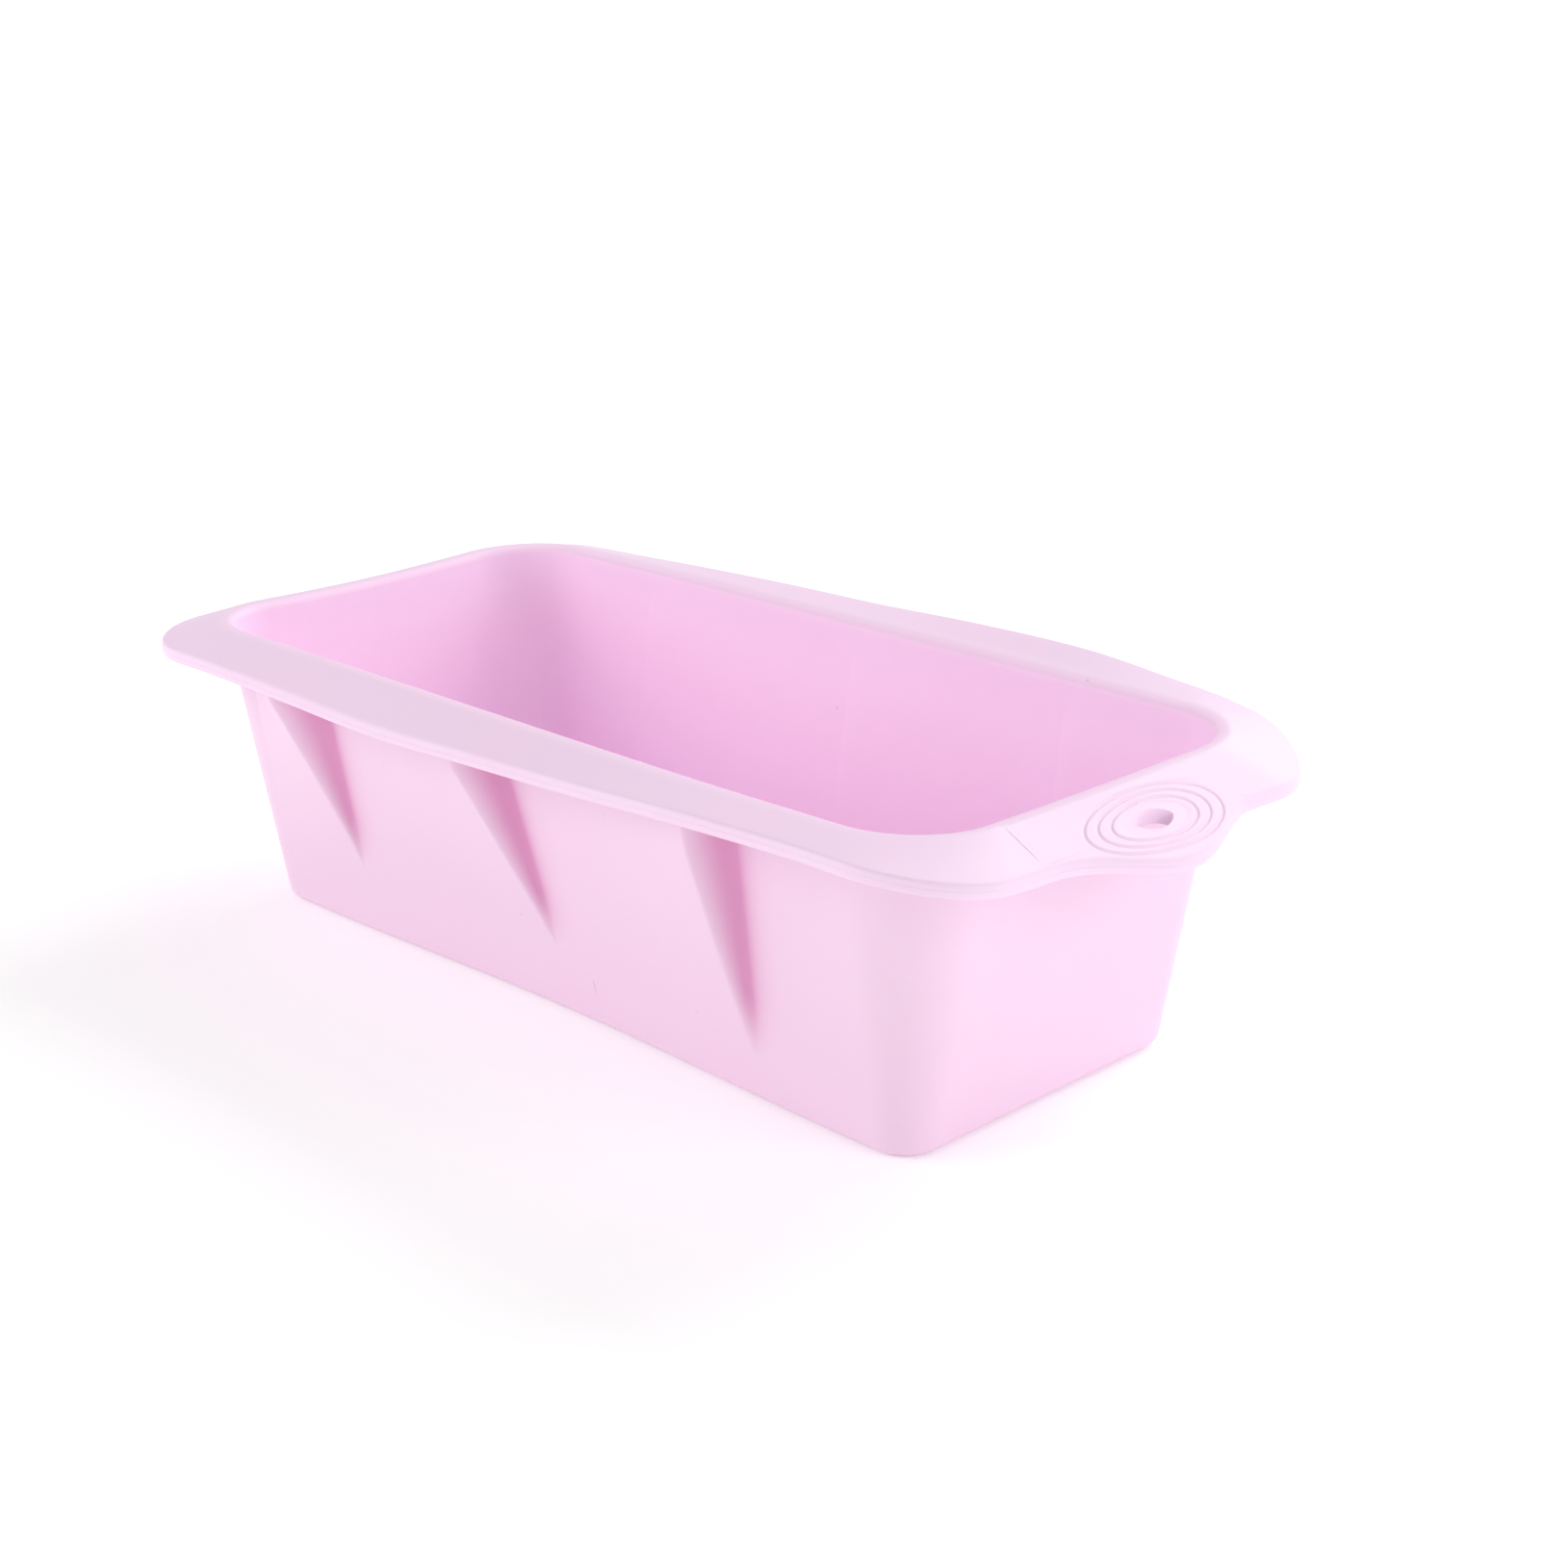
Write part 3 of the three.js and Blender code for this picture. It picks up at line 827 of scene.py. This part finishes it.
def floor_skin():
    points, faces = [], []
    for z, inset in floor_rings():
        q = wall_at(z, inset)
        q["r"] = max(q["r"], 1.0)
        points.append(lift_to(plan(q, ABOVE if inset >= WALL else z), z))
    n, levels = len(COLUMNS), len(points)
    for k in range(levels - 1):
        for c in range(n):
            p, q = k * n + c, k * n + (c + 1) % n
            faces.append([p, q, q + n, p + n])
    faces.append(list(range(n))[::-1])
    faces.append(list(range((levels - 1) * n, levels * n)))
    mesh = bpy.data.meshes.new("floor_skin")
    mesh.from_pydata((np.concatenate(points) * MM).tolist(), [], faces)
    # The floor's inside takes the brighter inside pink, painted bounce light.
    inner_ring = floor_rings().index((JOIN_Z, WALL))
    inward = np.repeat(np.arange(levels) >= inner_ring, n).astype(np.float32)
    mesh.attributes.new("inward", "FLOAT", "POINT").data.foreach_set("value", inward)
    mesh.materials.append(SILICONE)
    mesh.shade_smooth()
    rings = np.array(points)
    beside = np.roll(rings, -1, axis=1)
    face = np.cross(beside[1:] - rings[:-1], rings[1:] - beside[:-1])
    face[inner_ring - 1] = 0  # the curb's top is hidden by the walls
    face += np.roll(face, 1, axis=1)
    normals = np.zeros_like(rings)
    normals[:-1] += face
    normals[1:] += face
    normals[0], normals[-1] = (0, 0, -1), (0, 0, 1)
    mesh.normals_split_custom_set_from_vertices(unit(normals.reshape(-1, 3)).tolist())
    piece = bpy.data.objects.new("floor_skin", mesh)
    bpy.context.scene.collection.objects.link(piece)
    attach(piece, "tray")
    take_in(piece, "floor")
    print(f"floor_skin: {len(mesh.vertices)} points, {levels} rings")


floor_skin()

# %% [markdown]
# ## The tabs
#
# At each end the lip swells out into a tab. A slot goes through it, and three oval grooves run round
# the slot. The net here is polar: it starts at the slot, follows the ovals, and ends on the outline,
# so each groove runs along the net and stays smooth. Soft as it is, a tab doesn't stay where the tool
# left it: the right one is pulled a little towards the back.
#
# The tab bends in a shallow V. Its middle folds at the root, and the fold runs out to the lip at
# either side, where the tab joins the rim. So each tab is made as two halves, mirrored.

# %% Shape of a tab
TAB_HALF, TAB_FULLNESS = 30.0, 2.0
TAB_REACH = cad_high.x / MM - LIP["hx"]
SLOT_X, SLOT_HALF_LONG, SLOT_HALF_WIDE, SLOT_POINTED = 124.2, 5.2, 2.0, 1.7
OVAL_HALF_WIDE, OVAL_HALF_LONG = 6.6, 19.3  # the outermost groove, seen from above
OUTLINE_STEPS, SIDE_STEPS, PLAIN_ROWS, GROOVE_ROWS, SLOT_EDGE_ROWS, SLOT_EDGE = 56, 8, 6, 56, 3, 0.5
GROOVES_FROM, GROOVES_TO = 1.06, 0.42  # as parts of the outermost oval
TAB_SHIFT = {-1: 0.0, 1: 3.0}  # how far each tab has been pulled towards the back
SHIFT_FROM, SHIFT_TO = 116.7, 121.0


def on_tab(sx, sy, uv, thick=0.0):
    """Points at u from the middle of the mould and v from the middle of the tab, below its top."""
    u, v = uv.T
    pull = TAB_SHIFT[sx] * (1 - (v / CUT_Y) ** 4) * smooth(u, SHIFT_FROM, SHIFT_TO)
    x, y = sx * u, sy * v + pull
    top = rim_top(x, y, (u - MOUTH["hx"]) / (LIP["hx"] - MOUTH["hx"]))
    return np.column_stack([x, y, top - thick])


def tab_outline(v):
    swell = np.cos(np.clip(v / TAB_HALF, 0, 1) * np.pi / 2).clip(0) ** TAB_FULLNESS
    return LIP["hx"] + TAB_REACH * swell


def tab_border():
    """The border, from the tip round to the middle of the root: where it is above and below, which
    way is out, and whether it is a free edge."""
    v = CUT_Y * (np.arange(OUTLINE_STEPS + 1) / OUTLINE_STEPS)
    edge = np.column_stack([tab_outline(v), v])
    slope = np.gradient(edge[:, 0], v)
    slope[[0, -1]] = 0
    out = unit(np.column_stack([np.ones_like(v), -slope]))
    t = np.arange(SIDE_STEPS + 1) / SIDE_STEPS
    side = np.column_stack([mix(LIP["hx"] - TOP_EDGE, EAR_ROOT, t), np.full_like(t, CUT_Y)])
    side_under = np.column_stack([mix(LIP["hx"] - LOWER_EDGE, EAR_ROOT_UNDER, t), np.full_like(t, CUT_Y)])
    w = CUT_Y * (1 - (np.arange(END_MIDDLE) + 1) / END_MIDDLE)
    root = np.column_stack([np.full_like(w, EAR_ROOT), w])
    root_under = np.column_stack([np.full_like(w, EAR_ROOT_UNDER), w])
    above = np.concatenate([edge, side, root])
    below = np.concatenate([edge, side_under, root_under])
    out = np.concatenate([out, np.zeros((len(side) + len(root), 2))])
    return above, below, out, np.arange(len(above)) <= OUTLINE_STEPS


def tab_net(sx, sy):
    above, below, out, free = tab_border()
    centre = np.array([SLOT_X, 0.0])

    def at(uv, thick=0.0):
        return on_tab(sx, sy, uv, thick)

    ray = above - centre
    size = np.linalg.norm(ray / (OVAL_HALF_WIDE, OVAL_HALF_LONG), axis=1)
    power = np.sum(np.abs(ray / (SLOT_HALF_WIDE, SLOT_HALF_LONG)) ** SLOT_POINTED, axis=1)
    slot = centre + ray / power[:, None] ** (1 / SLOT_POINTED)
    slot_wide = slot + SLOT_EDGE * unit(ray)

    def oval(share):
        return centre + ray * (share / size)[:, None]

    border_top = at(above)
    inner_top = at(above - TOP_EDGE * out)
    inner_under = at(below - LOWER_EDGE * out, RIM)
    out3 = np.column_stack([out * (sx, sy), np.zeros(len(out))])
    lip = lip_rows(inner_top, border_top, out3, inner_under)
    flat = straight(inner_under, inner_top, len(lip))
    lip = [np.where(free[:, None], a, b) for a, b in zip(lip, flat)]

    rows = [at(slot, RIM)] + straight(at(slot, RIM), inner_under, PLAIN_ROWS) + lip
    rows += straight(inner_top, at(oval(GROOVES_FROM)), PLAIN_ROWS)
    shares = [mix(GROOVES_FROM, GROOVES_TO, (i + 1) / GROOVE_ROWS) for i in range(GROOVE_ROWS)]
    rows += [at(oval(share)) for share in shares]
    rows += straight(rows[-1], at(slot_wide), SLOT_EDGE_ROWS)
    rows += bezier(rows[-1], at(slot), at(slot, SLOT_EDGE), SLOT_EDGE_ROWS)
    net = np.swapaxes(np.array(rows), 0, 1)
    hidden = np.zeros((len(net) + 1, net.shape[1]), bool)
    hidden[OUTLINE_STEPS + 1] = True
    hidden[OUTLINE_STEPS + 1:, PLAIN_ROWS:PLAIN_ROWS + EDGE_ROWS] = True
    return net, hidden


print("a tab reaches", round(TAB_REACH, 1), "mm beyond the lip")

# %% [markdown]
# ## Oval grooves with Geometry Nodes
#
# The grooves could be cut one by one. They repeat, though, so one small node tree cuts them all: it
# measures how far each point is from the nearest oval, and sinks the points that are close. Changing
# the count, the step or the depth is then one number each.

# %% A node tree that cuts oval grooves
GROOVE_SIZES = {
    "Centre": SLOT_X * MM, "Pulled Back": 0.0,
    "Half Width": OVAL_HALF_WIDE * MM, "Half Length": OVAL_HALF_LONG * MM,
    "First Oval": 0.62, "Step": 0.19, "Last Oval": 1.0,
    "Groove Depth": 0.34 * MM, "Groove Half Width": 0.62 * MM, "Dish Depth": 0.16 * MM,
}
DISH_EDGE = (0.56, 0.46)  # the dish round the slot starts at the first and is full at the second


def oval_groove_tree():
    tree = bpy.data.node_groups.new("oval_grooves", "GeometryNodeTree")
    face = tree.interface
    face.new_socket("Geometry", in_out="INPUT", socket_type="NodeSocketGeometry")
    for name, value in GROOVE_SIZES.items():
        face.new_socket(name, in_out="INPUT", socket_type="NodeSocketFloat").default_value = value
    face.new_socket("Material", in_out="INPUT", socket_type="NodeSocketMaterial")
    face.new_socket("Geometry", in_out="OUTPUT", socket_type="NodeSocketGeometry")
    size = tree.nodes.new("NodeGroupInput").outputs
    m = sums(tree)
    position = tree.nodes.new("GeometryNodeInputPosition").outputs[0]
    spot = wire(tree, "ShaderNodeSeparateXYZ", {0: position}).outputs
    u = m("SUBTRACT", m("ABSOLUTE", spot[0]), size["Centre"])
    v = m("SUBTRACT", spot[1], size["Pulled Back"])
    du, dv = m("DIVIDE", u, size["Half Width"]), m("DIVIDE", v, size["Half Length"])
    share = m("SQRT", m("ADD", m("MULTIPLY", du, du), m("MULTIPLY", dv, dv)))
    gu, gv = m("DIVIDE", du, size["Half Width"]), m("DIVIDE", dv, size["Half Length"])
    steepness = m("DIVIDE", m("SQRT", m("ADD", m("MULTIPLY", gu, gu), m("MULTIPLY", gv, gv))), share)
    turns = m("DIVIDE", m("SUBTRACT", share, size["First Oval"]), size["Step"])
    off = m("MULTIPLY", m("ABSOLUTE", m("SUBTRACT", m("FRACT", m("ADD", turns, 0.5)), 0.5)), size["Step"])
    distance = m("DIVIDE", off, steepness)
    half_step = m("MULTIPLY", size["Step"], 0.5)
    within = m("MULTIPLY", m("GREATER_THAN", share, m("SUBTRACT", size["First Oval"], half_step)),
               m("LESS_THAN", share, m("ADD", size["Last Oval"], half_step)))
    groove = {0: distance, 1: size["Groove Half Width"], 2: 0.0, 3: 0.0, 4: size["Groove Depth"]}
    cut = wire(tree, "ShaderNodeMapRange", groove, interpolation_type="SMOOTHSTEP").outputs[0]
    hollow = {0: share, 1: DISH_EDGE[0], 2: DISH_EDGE[1], 3: 0.0, 4: size["Dish Depth"]}
    dish = wire(tree, "ShaderNodeMapRange", hollow, interpolation_type="SMOOTHSTEP").outputs[0]
    down = m("MULTIPLY", m("ADD", m("MULTIPLY", cut, within), dish), -1.0)
    offset = wire(tree, "ShaderNodeCombineXYZ", {2: down}).outputs[0]
    on_top = wire(tree, "GeometryNodeInputNamedAttribute", {"Name": "on_top"}, data_type="FLOAT").outputs[0]
    sunk = {"Geometry": size["Geometry"], "Selection": m("GREATER_THAN", on_top, 0.5), "Offset": offset}
    moved = wire(tree, "GeometryNodeSetPosition", sunk).outputs[0]
    real = wire(tree, "GeometryNodeRealizeInstances", {0: moved}).outputs[0]
    painted = wire(tree, "GeometryNodeSetMaterial", {"Geometry": real, "Material": size["Material"]})
    wire(tree, "NodeGroupOutput", {0: painted.outputs[0]})
    return tree


GROOVES = oval_groove_tree()
print("oval_grooves takes:", ", ".join(GROOVE_SIZES))


def cut_grooves(piece, pulled_back):
    """Runs the tree on a piece and keeps the result as its plain mesh."""
    cutter = piece.modifiers.new("oval_grooves", "NODES")
    cutter.node_group = GROOVES
    sockets = {s.name: s.identifier for s in GROOVES.interface.items_tree if s.in_out == "INPUT"}
    for name, value in {**GROOVE_SIZES, "Pulled Back": pulled_back, "Material": SILICONE}.items():
        cutter[sockets[name]] = value
    bpy.context.view_layer.update()
    cut = bpy.data.meshes.new_from_object(piece.evaluated_get(bpy.context.evaluated_depsgraph_get()))
    piece.modifiers.remove(cutter)
    piece.data = cut


def tab_half(side, depth, sx, sy):
    net, hidden = tab_net(sx, sy)
    on_top = np.zeros(net.shape[:2])
    on_top[:, 1 + PLAIN_ROWS + EDGE_ROWS:-SLOT_EDGE_ROWS] = 1.0
    shift = TAB_SHIFT[sx]

    def mirrored(seam, beside):
        """The column beside the seam, as the other half has it."""
        return beside * (1, -1, 1) + seam * (0, 2, 0)

    def neighbours(n):
        return mirrored(n[:1], n[1:2]), mirrored(n[-1:], n[-2:-1])

    # The whole tab takes the rim's paler pink, painted light through the thin rim.
    marks = {"rimward": np.ones(net.shape[:2]), "on_top": on_top}
    piece = close_net(f"{side}_tab_{depth}_half", net, neighbours, hidden, marks,
                      lambda tab: cut_grooves(tab, shift * MM))
    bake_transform(piece)
    take_in(piece, f"{side}_ear")


for side, sx in (("left", -1), ("right", 1)):
    for depth, sy in (("front", -1), ("back", 1)):
        tab_half(side, depth, sx, sy)

# %% [markdown]
# ## Camera, light and floor
#
# The camera stands off the near corner, a little above the rim. The light is a plain studio: one wide
# soft box in front of the long wall, one beyond the end wall, and one high behind, with an even white
# room all round. Little light comes from the camera's own side, which is what rounds off the near
# corner. The paper glows a little, more so further off, so that it runs into the white room.

# %% Camera
AZIMUTH, ELEVATION, ROLL = (math.radians(a) for a in (45.4, 19.3, -0.6))
LENS_MM, DISTANCE, AIM_RIGHT, AIM_UP, AIM_HEIGHT = 61.95, 0.5938, 0.0203, 0.0062, 0.035
level = Vector((math.cos(AZIMUTH), math.sin(AZIMUTH), 0))
back = Vector((level.y * math.cos(ELEVATION), -level.x * math.cos(ELEVATION), math.sin(ELEVATION)))
tilt = Matrix.Rotation(ROLL, 3, back)
right, up = tilt @ level, tilt @ back.cross(level)
camera = bpy.data.objects.new("camera", bpy.data.cameras.new("camera"))
camera.data.lens = LENS_MM
camera.data.sensor_width = 36
spot = Vector((0, 0, AIM_HEIGHT)) + AIM_RIGHT * right + AIM_UP * up + DISTANCE * back
turn = Matrix((right, up, back)).transposed().to_4x4()
camera.matrix_world = Matrix.Translation(spot) @ turn
bpy.context.scene.collection.objects.link(camera)
bpy.context.scene.camera = camera
print("camera at", [round(c, 3) for c in camera.location])


# %% Light and floor
BOX_SIZE = (1.1, 1.0)
LIGHT_AIM = 0.03  # the height that every box points at
ROOM_LIGHT = 0.50
PAPER_WHITE, PAPER_ROUGH = (0.93, 0.93, 0.93, 1), 0.9
GLOW_FROM, GLOW_TO = (0.3, 0.20), (1.3, 0.62)  # (distance in metres, strength)
PAPER_SIDE, PAPER_Z = 12, -0.0003


def soft_box(name, at, power):
    light = bpy.data.lights.new(name, "AREA")
    light.shape, light.size, light.size_y = "RECTANGLE", *BOX_SIZE
    light.energy = power
    lamp = bpy.data.objects.new(name, light)
    lamp.location = at
    lamp.rotation_mode = "QUATERNION"
    lamp.rotation_quaternion = (Vector(at) - Vector((0, 0, LIGHT_AIM))).to_track_quat("Z", "Y")
    bpy.context.scene.collection.objects.link(lamp)


soft_box("front_box", (-0.84, -1.08, 0.66), 9.1)
soft_box("end_box", (1.34, 0.34, 0.62), 6.8)
soft_box("back_box", (0.0, 1.23, 0.9), 13.0)

world = bpy.data.worlds.new("studio")
world.use_nodes = True
world.node_tree.nodes["Background"].inputs["Color"].default_value = (1, 1, 1, 1)
world.node_tree.nodes["Background"].inputs["Strength"].default_value = ROOM_LIGHT
bpy.context.scene.world = world
bpy.context.scene.view_settings.view_transform = "Standard"

paper = bpy.data.materials.new("white_paper")
paper.use_nodes = True
paper_inputs = paper.node_tree.nodes["Principled BSDF"].inputs
paper_inputs["Base Color"].default_value = PAPER_WHITE
paper_inputs["Roughness"].default_value = PAPER_ROUGH
paper_inputs["Emission Color"].default_value = (1, 1, 1, 1)
place = wire(paper.node_tree, "ShaderNodeTexCoord", {}).outputs["Object"]
reach = wire(paper.node_tree, "ShaderNodeVectorMath", {0: place}, operation="LENGTH").outputs["Value"]
fade = {0: reach, 1: GLOW_FROM[0], 2: GLOW_TO[0], 3: GLOW_FROM[1], 4: GLOW_TO[1]}
glow = wire(paper.node_tree, "ShaderNodeMapRange", fade)
paper.node_tree.links.new(glow.outputs[0], paper_inputs["Emission Strength"])
bpy.ops.mesh.primitive_plane_add(size=PAPER_SIDE, location=(0, 0, PAPER_Z))
sweep = bpy.context.object
sweep.name = "studio_floor"
sweep.data.materials.append(paper)
print("lights:", ", ".join(light.name for light in bpy.data.lights))

# %% Count the pieces
print(len(PIECES), "pieces")
